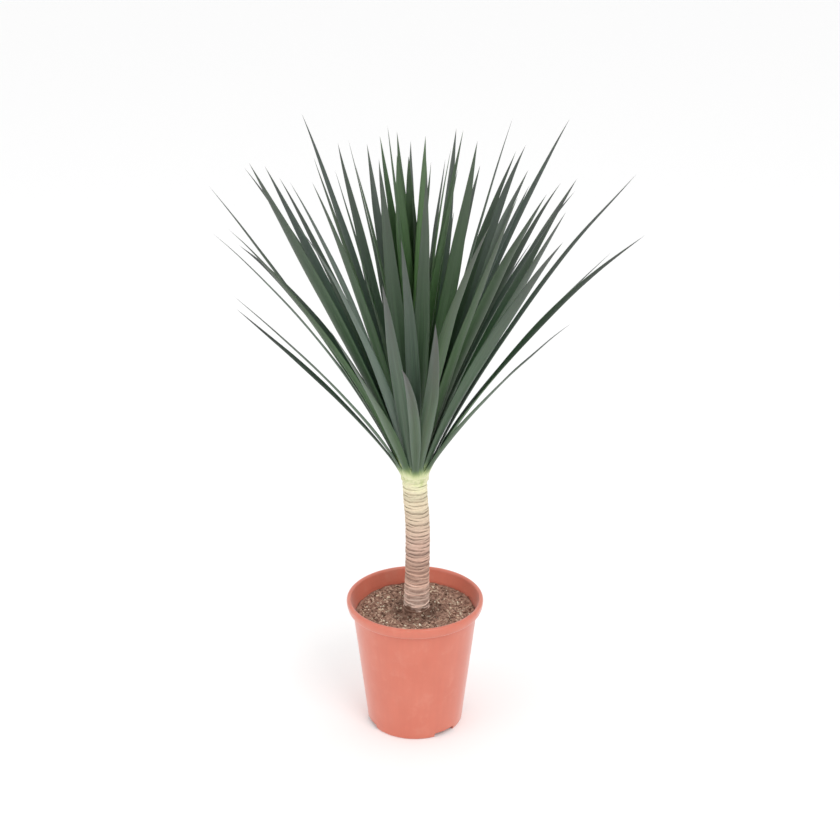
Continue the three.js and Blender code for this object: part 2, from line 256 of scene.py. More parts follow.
# %% Leaf material
def leaf_material(name, upper, under):
    """A waxy leaf skin: upper and under are the ramps of hex colours of its two faces, by tone."""
    material, tree, shader = new_material(name)
    along = add(tree, "ShaderNodeAttribute", attribute_name="along")
    across = add(tree, "ShaderNodeAttribute", attribute_name="across")
    side = add(tree, "ShaderNodeAttribute", attribute_name="side")
    tone = add(tree, "ShaderNodeAttribute", attribute_name="tone")
    age = add(tree, "ShaderNodeAttribute", attribute_name="age")
    facing = add(tree, RANGE, {0: side.outputs["Fac"], 1: -0.3, 2: 0.3})
    # One leaf differs from the next: some are fresh green, some slate, some dulled by wax.
    under_green = ramp(tree, tone.outputs["Fac"], under)
    upper_green = ramp(tree, tone.outputs["Fac"], upper)
    waxed = add(tree, MIX, {0: facing, 6: under_green, 7: upper_green}, data_type="RGBA")
    # Veins: about one every 0.8 mm across an 18 mm blade, drawn as stretched noise.
    strands = add(tree, COMBINE, {
        0: across.outputs["Fac"], 1: along.outputs["Fac"], 2: tone.outputs["Fac"]})
    stretched = add(tree, VECTOR_MATH, {0: strands, 1: (11.0, 3.0, 9.0)}, operation="MULTIPLY")
    veins = add(tree, NOISE, {"Vector": stretched, "Scale": 1.0, "Detail": 3.0, "Roughness": 0.6})
    vein_shade = add(tree, RANGE, {0: veins, 1: 0.3, 2: 0.7, 3: 0.72, 4: 1.25})
    veined = add(tree, MIX, {0: 1.0, 6: waxed, 7: vein_shade}, data_type="RGBA", blend_type="MULTIPLY")
    # The tip of an old leaf dries to a dull purplish grey.
    tip_reach = add(tree, RANGE, {0: along.outputs["Fac"], 1: 0.45, 2: 1.0})
    spread = add(tree, RANGE, {0: age.outputs["Fac"], 3: 0.55, 4: 0.95})
    dry = add(tree, MATH, {0: tip_reach, 1: spread}, operation="MULTIPLY")
    dried = add(tree, MIX, {0: dry, 6: veined, 7: paint("#4b494b")}, data_type="RGBA")
    # The clasping base is cream, then yellow-green, before the blade's own green begins. The
    # change is ragged along the veins, and comes sooner on one leaf than on the next.
    ragged = add(tree, RANGE, {0: veins, 1: 0.3, 2: 0.7, 3: -0.012, 4: 0.012})
    sooner = add(tree, RANGE, {0: tone.outputs["Fac"], 3: -0.012, 4: 0.02})
    greening = add(tree, MATH, {0: along.outputs["Fac"], 1: ragged}, operation="ADD")
    greening = add(tree, MATH, {0: greening, 1: sooner}, operation="ADD")
    base_fade = add(tree, RANGE, {0: greening, 1: 0.025, 2: 0.085},
                    interpolation_type="SMOOTHSTEP")
    cream = ramp(tree, add(tree, RANGE, {0: greening, 1: 0.0, 2: 0.1}),
                 [(0.0, "#e4e1c0"), (0.25, "#ccd2a0"), (0.5, "#93a76b"), (1.0, "#58774a")])
    skin = add(tree, MIX, {0: base_fade, 6: cream, 7: dried}, data_type="RGBA")
    tree.links.new(skin.outputs[2], shader.inputs["Base Color"])
    rough = add(tree, RANGE, {0: veins, 1: 0.2, 2: 0.8, 3: 0.36, 4: 0.56})
    tree.links.new(rough.outputs[0], shader.inputs["Roughness"])
    relief = add(tree, "ShaderNodeBump", {"Height": veins, "Strength": 0.35, "Distance": 0.4 * MM})
    tree.links.new(relief.outputs[0], shader.inputs["Normal"])
    shader.inputs["Specular IOR Level"].default_value = 0.45
    shader.inputs["Subsurface Weight"].default_value = 0.06
    shader.inputs["Subsurface Radius"].default_value = (0.6, 1.0, 0.3)
    shader.inputs["Subsurface Scale"].default_value = 1.5 * MM
    return material


grown_skin = leaf_material(
    "waxy_leaf",
    [(0.0, "#294628"), (0.3, "#325034"), (0.6, "#364e3b"), (0.8, "#415749"), (1.0, "#52675b")],
    [(0.0, "#39562f"), (0.3, "#435f3e"), (0.55, "#425840"), (0.8, "#536856"), (1.0, "#6d7d72")])
young_skin = leaf_material(
    "fresh_leaf",
    [(0.0, "#2f4f27"), (0.5, "#3c6130"), (1.0, "#4b7040")],
    [(0.0, "#3c5f33"), (0.5, "#4c7040"), (1.0, "#60844f")])

# %% [markdown]
# ## The leaf blade
# Each blade is a strap that clasps the stem with a broad base, widens a little, keeps its width to
# past the middle and runs out to a long point. Its section is a thin lens, folded up along the
# midrib like a shallow gutter. It could be modelled by hand and bent with a curve, but all the
# leaves share one rule, so one Geometry Nodes tree sweeps the section along each midrib. It stores
# how far along, how far across and on which side each point lies, for the skin to read.

# %% Blade tree
def blade_tree():
    """The tree that grows one blade from its midrib's four control points."""
    inputs = {
        "Base": Vector(), "Sheath end": Vector(), "Bend": Vector(), "Tip": Vector(),
        "Width": 18 * MM, "Base share": 0.6, "Roll": 0.0, "Age": 0.5, "Tone": 0.5,
        "Wander": 8 * MM, "Thickness": 1.5 * MM, "Channel": 0.15, "Stations": 46,
        "Section points": 12, "Material": grown_skin}
    tree, size = new_geometry_tree("leaf_blade", inputs)
    midrib = add(tree, "GeometryNodeCurvePrimitiveBezierSegment", {
        "Start": size["Base"], "Start Handle": size["Sheath end"],
        "End Handle": size["Bend"], "End": size["Tip"], "Resolution": 48}, mode="POSITION")
    midrib = add(tree, "GeometryNodeResampleCurve", {"Curve": midrib, "Count": size["Stations"]})
    along = add(tree, "GeometryNodeSplineParameter").outputs["Factor"]
    # A slow wander, nothing at the base and most near the tip, keeps the blade from looking ruled.
    place = add(tree, COMBINE, {0: add(tree, MATH, {0: along, 1: 2.4}, operation="MULTIPLY"),
                                1: add(tree, MATH, {0: size["Tone"], 1: 37.0}, operation="MULTIPLY"),
                                2: add(tree, MATH, {0: size["Age"], 1: 53.0}, operation="MULTIPLY")})
    sway = add(tree, NOISE, {"Vector": place, "Scale": 1.0, "Detail": 1.0}).outputs["Color"]
    sway = add(tree, VECTOR_MATH, {0: sway, 1: (0.5, 0.5, 0.5)}, operation="SUBTRACT")
    growing = add(tree, RANGE, {0: along, 1: 0.15, 2: 1.0}, interpolation_type="SMOOTHSTEP")
    reach_of_sway = add(tree, MATH, {0: growing, 1: size["Wander"]}, operation="MULTIPLY")
    sway = add(tree, VECTOR_MATH, {0: sway, "Scale": reach_of_sway}, operation="SCALE")
    midrib = add(tree, "GeometryNodeSetPosition", {"Geometry": midrib, "Offset": sway})
    # The blade's own directions at each station: forward, across and up, turned by its roll.
    forward = add(tree, "GeometryNodeInputTangent")
    level = add(tree, VECTOR_MATH, {0: (0.0, 0.0, 1.0), 1: forward}, operation="CROSS_PRODUCT")
    level = add(tree, VECTOR_MATH, {0: level}, operation="NORMALIZE")
    turning = add(tree, RANGE, {0: along, 1: 0.12, 2: 0.72}, interpolation_type="SMOOTHSTEP")
    roll = add(tree, MATH, {0: turning, 1: size["Roll"]}, operation="MULTIPLY")
    across = add(tree, "ShaderNodeVectorRotate", {"Vector": level, "Axis": forward, "Angle": roll},
                 rotation_type="AXIS_ANGLE")
    up = add(tree, VECTOR_MATH, {0: forward, 1: across}, operation="CROSS_PRODUCT")
    # Half the width at each station: the clasping base, the strap and the long point.
    opening = add(tree, RANGE, {0: along, 1: 0.0, 2: 0.3, 3: size["Base share"], 4: 1.0},
                  interpolation_type="SMOOTHSTEP")
    clasp = add(tree, RANGE, {0: along, 1: 0.008, 2: 0.07, 3: 0.62, 4: 0.0},
                interpolation_type="SMOOTHSTEP")
    opening = add(tree, MATH, {0: opening, 1: clasp}, operation="ADD")
    taper = add(tree, RANGE, {0: along, 1: 0.45, 2: 1.0})
    taper = add(tree, MATH, {0: taper, 1: 1.7}, operation="POWER")
    fullness = add(tree, MATH, {0: 1.0, 1: taper}, operation="SUBTRACT")
    half = add(tree, MATH, {0: opening, 1: fullness}, operation="MULTIPLY")
    half = add(tree, MATH, {0: half, 1: size["Width"]}, operation="MULTIPLY")
    half = add(tree, MATH, {0: half, 1: 0.5}, operation="MULTIPLY")
    thick = add(tree, MATH, {0: fullness}, operation="SQRT")
    thinning = add(tree, RANGE, {0: along, 1: 0.0, 2: 0.5, 3: 1.0, 4: 0.6})
    thick = add(tree, MATH, {0: thick, 1: thinning}, operation="MULTIPLY")
    thick = add(tree, MATH, {0: thick, 1: size["Thickness"]}, operation="MULTIPLY")
    rail = midrib
    for name, sort, value in (
            ("along", "FLOAT", along), ("midrib", "FLOAT_VECTOR", add(tree, POSITION)),
            ("blade_across", "FLOAT_VECTOR", across), ("blade_up", "FLOAT_VECTOR", up),
            ("half", "FLOAT", half), ("thick", "FLOAT", thick)):
        rail = add(tree, STORE, {"Geometry": rail, "Name": name, "Value": value}, data_type=sort)
    # The section is a ring of points: its cosine runs across the blade and its sine through it.
    ring = add(tree, "GeometryNodeCurvePrimitiveCircle", {
        "Resolution": size["Section points"], "Radius": 1.0})
    ring_place = add(tree, SEPARATE, {0: add(tree, POSITION)})
    for name, axis in (("across", "X"), ("side", "Y")):
        ring = add(tree, STORE, {"Geometry": ring, "Name": name, "Value": ring_place.outputs[axis]},
                   data_type="FLOAT")
    blade = add(tree, "GeometryNodeCurveToMesh", {
        "Curve": rail, "Profile Curve": ring, "Fill Caps": True})
    recall = {}
    for name, sort in (
            ("midrib", "FLOAT_VECTOR"), ("blade_across", "FLOAT_VECTOR"),
            ("blade_up", "FLOAT_VECTOR"), ("half", "FLOAT"), ("thick", "FLOAT"),
            ("across", "FLOAT"), ("side", "FLOAT")):
        recall[name] = add(tree, RECALL, {"Name": name}, data_type=sort)
    outward = add(tree, MATH, {0: recall["across"], 1: recall["half"]}, operation="MULTIPLY")
    # The gutter: the edges rise with the square of their distance from the midrib.
    square = add(tree, MATH, {0: recall["across"], 1: recall["across"]}, operation="MULTIPLY")
    lift = add(tree, MATH, {0: square, 1: recall["half"]}, operation="MULTIPLY")
    lift = add(tree, MATH, {0: lift, 1: size["Channel"]}, operation="MULTIPLY")
    lift = add(tree, MATH, {0: lift, 1: 2.0}, operation="MULTIPLY")
    body = add(tree, MATH, {0: recall["side"], 1: recall["thick"]}, operation="MULTIPLY")
    body = add(tree, MATH, {0: body, 1: 0.5}, operation="MULTIPLY")
    height = add(tree, MATH, {0: lift, 1: body}, operation="ADD")
    sideways = add(tree, VECTOR_MATH, {0: recall["blade_across"], "Scale": outward}, operation="SCALE")
    upwards = add(tree, VECTOR_MATH, {0: recall["blade_up"], "Scale": height}, operation="SCALE")
    offset = add(tree, VECTOR_MATH, {0: sideways, 1: upwards}, operation="ADD")
    point = add(tree, VECTOR_MATH, {0: recall["midrib"], 1: offset}, operation="ADD")
    blade = add(tree, "GeometryNodeSetPosition", {"Geometry": blade, "Position": point})
    blade = add(tree, "GeometryNodeMergeByDistance", {"Geometry": blade, "Distance": 0.01 * MM})
    for name in ("midrib", "blade_across", "blade_up", "half", "thick"):
        blade = add(tree, "GeometryNodeRemoveAttribute", {"Geometry": blade, "Name": name})
    blade = add(tree, STORE, {"Geometry": blade, "Name": "age", "Value": size["Age"]}, data_type="FLOAT")
    blade = add(tree, STORE, {"Geometry": blade, "Name": "tone", "Value": size["Tone"]}, data_type="FLOAT")
    blade = add(tree, "GeometryNodeSetShadeSmooth", {"Geometry": blade})
    close_tree(tree, blade, size["Material"])
    return tree


blade_maker = blade_tree()

# %% [markdown]
# ## All the leaves
# The tree runs once for each leaf, because each leaf has its own sizes and stands for its own
# solid. Copies of one leaf would be quicker to make, but every real leaf differs.

# %% Grow the leaves
for index in range(SEPARATE_LEAVES):
    blade = make(f"blade_{index + 1:02d}", blade_maker, {**leaf_growth(index), "Material": grown_skin})
    volume = turn_out(blade)
    settle(blade, "leaf_skin", f"leaf_{index + 1:02d}")
print(f"the last separate blade holds {volume * 1e6:.1f} ml in {len(blade.data.polygons)} faces")

# %% [markdown]
# ## The young leaves and their spear
# The youngest leaves peel away from a rolled spear in the middle of the crown. They are thinner
# and straighter than the grown ones, so the same tree makes them with other sizes. The spear is a
# blade too: a thick, narrow one with no gutter. They are joined, because they grow as one.

# %% Grow the young leaves and their spear
def join(pieces, name):
    """Joins several pieces into the first one."""
    with bpy.context.temp_override(active_object=pieces[0], selected_editable_objects=pieces):
        bpy.ops.object.join()
    pieces[0].name = pieces[0].data.name = name
    return pieces[0]


young = []
for index in range(SEPARATE_LEAVES, LEAVES):
    growth = {**leaf_growth(index), "Material": young_skin, "Thickness": 1.2 * MM, "Wander": 3 * MM}
    young.append(make(f"young_{index + 1:02d}", blade_maker, growth))
    turn_out(young[-1])
spear_bottom = Vector((0, 0, (DOME_BOTTOM + DOME_HEIGHT + 1) * MM))
spear_sizes = {
    "Base": spear_bottom, "Sheath end": spear_bottom + Vector((0.001, 0, 0.1)),
    "Bend": spear_bottom + Vector((0.003, 0.002, 0.2)),
    "Tip": spear_bottom + Vector((0, 0.004, 0.33)), "Width": 14 * MM, "Base share": 1.0,
    "Channel": 0.0, "Thickness": 10 * MM, "Age": 0.0, "Tone": 0.1, "Material": young_skin}
young.append(make("spear", blade_maker, spear_sizes))
turn_out(young[-1])
heart = join(young, "young_leaves_and_spear")
settle(heart, "young_leaf_skin", "young_leaves")
print(f"the young leaves have {len(heart.data.polygons)} faces together")

# %% [markdown]
# ## Turned pieces
# The pot was moulded between two round steel halves, the soil takes the pot's shape and the cane
# grew round, so all three start as an outline that is turned about the Z axis. An outline is a few
# strokes, each with a start, a point that it bends towards and an end, in millimetres of radius and
# height. Curve to Mesh could place the outline too, but storing each point's radius and height and
# placing it by rule keeps the result exactly round and leaves those values for later steps.

# %% Helpers for turned pieces
def outline(tree, strokes):
    """Joins strokes of (start, bend, end, steps) into one curve."""
    chains = tree.nodes.new("GeometryNodeJoinGeometry")
    for start, bend, end, steps in strokes:
        first, middle, last = (Vector((radius, 0, rise)) * MM for radius, rise in (start, bend, end))
        stroke = add(tree, "GeometryNodeCurvePrimitiveBezierSegment", {
            "Start": first, "Start Handle": first.lerp(middle, 2 / 3),
            "End Handle": last.lerp(middle, 2 / 3), "End": last, "Resolution": steps}, mode="POSITION")
        edges = add(tree, "GeometryNodeCurveToMesh", {"Curve": stroke})
        tree.links.new(edges.outputs[0], chains.inputs[0])
    chain = add(tree, "GeometryNodeMergeByDistance", {"Geometry": chains, "Distance": 0.01 * MM})
    return add(tree, "GeometryNodeMeshToCurve", {"Mesh": chain})


def straight(start, end, steps=1):
    """A stroke that doesn't bend."""
    return start, ((start[0] + end[0]) / 2, (start[1] + end[1]) / 2), end, steps


def turned(tree, profile, sides):
    """Turns an outline about the Z axis into a surface, closed where it meets the axis."""
    place = add(tree, SEPARATE, {0: add(tree, POSITION)})
    for name, value in (("from_axis", place.outputs["X"]), ("height", place.outputs["Z"])):
        profile = add(tree, STORE, {"Geometry": profile, "Name": name, "Value": value}, data_type="FLOAT")
    circle = add(tree, "GeometryNodeCurvePrimitiveCircle", {"Resolution": sides, "Radius": 1.0})
    circle = add(tree, STORE, {"Geometry": circle, "Name": "outward", "Value": add(tree, POSITION)},
                 data_type="FLOAT_VECTOR")
    surface = add(tree, "GeometryNodeCurveToMesh", {"Curve": circle, "Profile Curve": profile})
    outward = add(tree, RECALL, {"Name": "outward"}, data_type="FLOAT_VECTOR")
    from_axis = add(tree, RECALL, {"Name": "from_axis"}, data_type="FLOAT")
    height = add(tree, RECALL, {"Name": "height"}, data_type="FLOAT")
    level = add(tree, VECTOR_MATH, {0: outward, "Scale": from_axis}, operation="SCALE")
    point = add(tree, VECTOR_MATH, {0: level, 1: add(tree, COMBINE, {2: height})}, operation="ADD")
    surface = add(tree, "GeometryNodeSetPosition", {"Geometry": surface, "Position": point})
    return add(tree, "GeometryNodeMergeByDistance", {"Geometry": surface, "Distance": 0.01 * MM})


def smooth_but_creased(tree, surface, crease):
    """Shades a surface smooth, and leaves a crease wherever it turns by more than an angle."""
    surface = add(tree, "GeometryNodeSetShadeSmooth", {"Geometry": surface})
    turn = add(tree, "GeometryNodeInputMeshEdgeAngle").outputs["Unsigned Angle"]
    sharp = add(tree, MATH, {0: turn, 1: crease}, operation="GREATER_THAN")
    return add(tree, "GeometryNodeSetShadeSmooth", {
        "Geometry": surface, "Selection": sharp, "Shade Smooth": False}, domain="EDGE")


# %% [markdown]
# ## The pot
# A nursery pot is injection-moulded from polypropylene that is coloured like terracotta. The steel
# is finely blasted, so the surface is satin: it blurs a lamp into a soft sheen. The plastic lets a
# little light in, which warms its colour where light goes deep and keeps shaded parts red. Handling
# leaves faint scuffs that are duller and slightly paler, and the flow of the hot plastic up the
# wall leaves very faint upright streaks. A little dust lightens the parts seen edge-on.

# %% Pot material
def pot_material():
    material, tree, shader = new_material("terracotta_polypropylene")
    place = add(tree, "ShaderNodeTexCoord").outputs["Object"]
    cloud = add(tree, NOISE, {"Vector": place, "Scale": 22.0, "Detail": 3.0})
    shade = add(tree, RANGE, {0: cloud, 1: 0.3, 2: 0.7})
    colour = add(tree, MIX, {0: shade, 6: paint("#c96f5a"), 7: paint("#cf7762")}, data_type="RGBA")
    upright = add(tree, VECTOR_MATH, {0: place, 1: (1.0, 1.0, 0.06)}, operation="MULTIPLY")
    flow = add(tree, NOISE, {"Vector": upright, "Scale": 160.0, "Detail": 2.0})
    streak = add(tree, RANGE, {0: flow, 1: 0.35, 2: 0.65, 3: 0.988, 4: 1.012})
    colour = add(tree, MIX, {0: 1.0, 6: colour, 7: streak}, data_type="RGBA", blend_type="MULTIPLY")
    scuffs = add(tree, NOISE, {"Vector": place, "Scale": 45.0, "Detail": 3.0, "Roughness": 0.6})
    scuffed = add(tree, RANGE, {0: scuffs, 1: 0.55, 2: 0.75, 3: 0.0, 4: 0.14})
    colour = add(tree, MIX, {0: scuffed, 6: colour, 7: paint("#dba392")}, data_type="RGBA")
    tree.links.new(colour.outputs[2], shader.inputs["Base Color"])
    dull = add(tree, RANGE, {0: scuffs, 1: 0.35, 2: 0.7, 3: 0.3, 4: 0.38})
    tree.links.new(dull.outputs[0], shader.inputs["Roughness"])
    grain = add(tree, NOISE, {"Vector": place, "Scale": 1400.0, "Detail": 2.0})
    relief = add(tree, "ShaderNodeBump", {"Height": grain, "Strength": 0.12, "Distance": 0.05 * MM})
    tree.links.new(relief.outputs[0], shader.inputs["Normal"])
    for name, value in (
            ("IOR", 1.49), ("Subsurface Weight", 0.16), ("Subsurface Radius", (1.0, 0.35, 0.25)),
            ("Subsurface Scale", 2.5 * MM), ("Sheen Weight", 0.34), ("Sheen Roughness", 0.35)):
        shader.inputs[name].default_value = value
    return material


pot_plastic = pot_material()

# %% [markdown]
# The pot has a wall that widens as it rises, so that pots nest; a rolled lip that overhangs it, which
# stiffens the mouth and gives fingers a hold; a floor plate with drain holes; and a foot ring with
# notches, so that water can run out from under it. It is turned from one outline, and the notches
# and holes are then cut out, as the mould's own inserts leave them.

# %% Pot
NOTCH_BEARINGS = [math.radians(bearing) for bearing in (-158, -51.5, 22, 128)]


def pot_tree():
    """The tree that turns the pot and cuts its notches and drain holes."""
    tree, size = new_geometry_tree("nursery_pot", {
        "Sides": 192, "Notch width": 33 * MM, "Notch height": 6.5 * MM, "Notch corner": 2.2 * MM,
        "Drain radius": 4.5 * MM, "Drain circle": 56 * MM, "Crease": math.radians(34),
        "Material": pot_plastic})
    body = turned(tree, outline(tree, [
        straight((0, 0), (14.2, 0)),
        ((14.2, 0), (15, 0), (15.1, 0.8), 3),
        straight((15.1, 0.8), (16.5, 7)),
        straight((16.5, 7), (62.5, 7)),
        straight((62.5, 7), (63.4, 0.6)),
        ((63.4, 0.6), (63.5, 0), (64.1, 0), 3),
        straight((64.1, 0), (64.6, 0)),
        ((64.6, 0), (66.5, 0.2), (67, 4), 8),
        straight((67, 4), (86.4, 171.8), 6),
        ((86.4, 171.8), (86.7, 174.3), (88.2, 174.4), 6),
        straight((88.2, 174.4), (90.6, 174.6)),
        ((90.6, 174.6), (92.9, 175.2), (93.6, 178), 7),
        ((93.6, 178), (94.8, 182), (95, 185.4), 8),
        ((95, 185.4), (95.1, 190), (91.9, 190), 12),
        ((91.9, 190), (89, 190), (88.5, 186.4), 10),
        straight((88.5, 186.4), (85.2, 172.4), 2),
        ((85.2, 172.4), (85, 171.6), (84.9, 170.8), 3),
        straight((84.9, 170.8), (65.3, 10.5), 6),
        ((65.3, 10.5), (65.1, 9), (63.6, 9), 4),
        straight((63.6, 9), (0, 9), 3),
    ]), size["Sides"])
    across = add(tree, "GeometryNodeCurvePrimitiveLine", {"Start": (0.056, 0, 0), "End": (0.078, 0, 0)})
    full_height = add(tree, MATH, {0: size["Notch height"], 1: 2.0}, operation="MULTIPLY")
    opening = add(tree, "GeometryNodeCurvePrimitiveQuadrilateral", {
        0: size["Notch width"], 1: full_height})
    opening = add(tree, "GeometryNodeFilletCurve", {
        "Curve": opening, "Radius": size["Notch corner"], "Count": 6}, mode="POLY")
    notch = add(tree, "GeometryNodeCurveToMesh", {
        "Curve": across, "Profile Curve": opening, "Fill Caps": True})
    drill = add(tree, "GeometryNodeMeshCylinder", {
        "Vertices": 32, "Radius": size["Drain radius"], "Depth": 9 * MM})
    drill_place = add(tree, COMBINE, {0: size["Drain circle"], 2: 8 * MM})
    drill = add(tree, "GeometryNodeTransform", {"Geometry": drill, "Translation": drill_place})
    for bearing in NOTCH_BEARINGS:
        for tool in (notch, drill):
            cutter = add(tree, "GeometryNodeTransform", {"Geometry": tool, "Rotation": (0, 0, bearing)})
            body = add(tree, "GeometryNodeMeshBoolean", {"Mesh 1": body, "Mesh 2": cutter},
                       operation="DIFFERENCE", solver="EXACT")
    body = smooth_but_creased(tree, body, size["Crease"])
    close_tree(tree, body, size["Material"])
    return tree


pot = make("nursery_pot", pot_tree(), {"Material": pot_plastic})
print(f"the pot holds {turn_out(pot) * 1e6:.0f} ml of plastic in {len(pot.data.polygons)} faces")
settle(pot, "pot_plastic", "pot")

# %% [markdown]
# ## The cane
# A dragon tree has no branches until it flowers, only one cane. Every leaf that falls leaves a
# scar that wraps most of the way round it, low on one side and high on the other, so the cane is
# covered in rings that tilt to every side and pinch into crescents where they meet. The bark is
# thin and soft. It is cream where leaves fell last, tans to a pinkish brown as it ages, and goes
# grey just above the soil, where water splashes it. The grooves between the rings are painted
# dark as shade, most of all low down, where the rings also differ most in tone.

# %% Cane material
def cane_material():
    material, tree, shader = new_material("ringed_bark")
    place = add(tree, "ShaderNodeTexCoord").outputs["Object"]
    height = add(tree, SEPARATE, {0: place}).outputs["Z"]
    patch = add(tree, NOISE, {"Vector": place, "Scale": 70.0, "Detail": 4.0, "Roughness": 0.65})
    drift = add(tree, RANGE, {0: patch, 1: 0.3, 2: 0.7, 3: -0.05, 4: 0.05})
    climb = add(tree, RANGE, {0: height, 1: 0.165, 2: 0.385})
    climb = add(tree, MATH, {0: climb, 1: drift}, operation="ADD")
    age = ramp(tree, climb, [
        (0.0, "#6e5244"), (0.05, "#7c6354"), (0.08, "#d6bfb0"), (0.17, "#d0b2a1"),
        (0.3, "#bc9886"), (0.52, "#c9ab9a"), (0.72, "#d3c1a8"), (0.85, "#dbd1b3"),
        (0.92, "#e6e3bd"), (1.0, "#bccd84")])
    tone = add(tree, "ShaderNodeAttribute", attribute_name="scar_tone").outputs["Fac"]
    darkest = add(tree, RANGE, {0: height, 1: 0.2, 2: 0.34, 3: 0.68, 4: 0.86})
    palest = add(tree, RANGE, {0: height, 1: 0.2, 2: 0.34, 3: 1.26, 4: 1.14})
    lightness = add(tree, RANGE, {0: tone, 3: darkest, 4: palest})
    bark = add(tree, MIX, {0: 1.0, 6: age, 7: lightness}, data_type="RGBA", blend_type="MULTIPLY")
    # Painted shade: the groove on either side of a ring is painted dark brown, as if in shade, most of all
    # low on the cane.
    ridge = add(tree, "ShaderNodeAttribute", attribute_name="ridge").outputs["Fac"]
    groove = add(tree, RANGE, {0: ridge, 1: 0.68, 2: 0.2}, interpolation_type="SMOOTHSTEP")
    shade_low_down = add(tree, RANGE, {0: height, 1: 0.18, 2: 0.36, 3: 1.0, 4: 0.55})
    broken = add(tree, RANGE, {0: patch, 1: 0.38, 2: 0.58, 3: 0.3, 4: 1.0})
    groove_shade = add(tree, MATH, {0: groove, 1: shade_low_down}, operation="MULTIPLY")
    groove_shade = add(tree, MATH, {0: groove_shade, 1: broken}, operation="MULTIPLY")
    bark = add(tree, MIX, {0: groove_shade, 6: bark, 7: paint("#38251d")}, data_type="RGBA")
    flat = add(tree, VECTOR_MATH, {0: place, 1: (1.0, 1.0, 4.0)}, operation="MULTIPLY")
    fibre = add(tree, NOISE, {"Vector": flat, "Scale": 260.0, "Detail": 5.0, "Roughness": 0.7})
    fleck = add(tree, RANGE, {0: fibre, 1: 0.3, 2: 0.7, 3: 0.84, 4: 1.14})
    bark = add(tree, MIX, {0: 1.0, 6: bark, 7: fleck}, data_type="RGBA", blend_type="MULTIPLY")
    tree.links.new(bark.outputs[2], shader.inputs["Base Color"])
    relief = add(tree, "ShaderNodeBump", {"Height": fibre, "Strength": 0.6, "Distance": 0.5 * MM})
    tree.links.new(relief.outputs[0], shader.inputs["Normal"])
    shader.inputs["Roughness"].default_value = 0.72
    shader.inputs["Specular IOR Level"].default_value = 0.3
    return material


cane_bark = cane_material()

# %% [markdown]
# The cane is a turned core with one ring on it for each scar. Each ring is a band whose section is
# a flat cushion. The rings climb the core by a few millimetres each, turn by the golden angle
# like the leaves that left them, and tilt more low down than near the top.

# %% Cane
def along_cane(tree, height):
    """How far the cane leans to the right at a height: out as it climbs and back under its crown."""
    out = add(tree, RANGE, {0: height, 1: 0.1, 2: 0.29, 3: 1 * MM, 4: 4 * MM},
              interpolation_type="SMOOTHSTEP")
    back = add(tree, RANGE, {0: height, 1: 0.29, 2: 0.366, 3: 0.0, 4: 4 * MM},
               interpolation_type="SMOOTHSTEP")
    return add(tree, MATH, {0: out, 1: back}, operation="SUBTRACT")


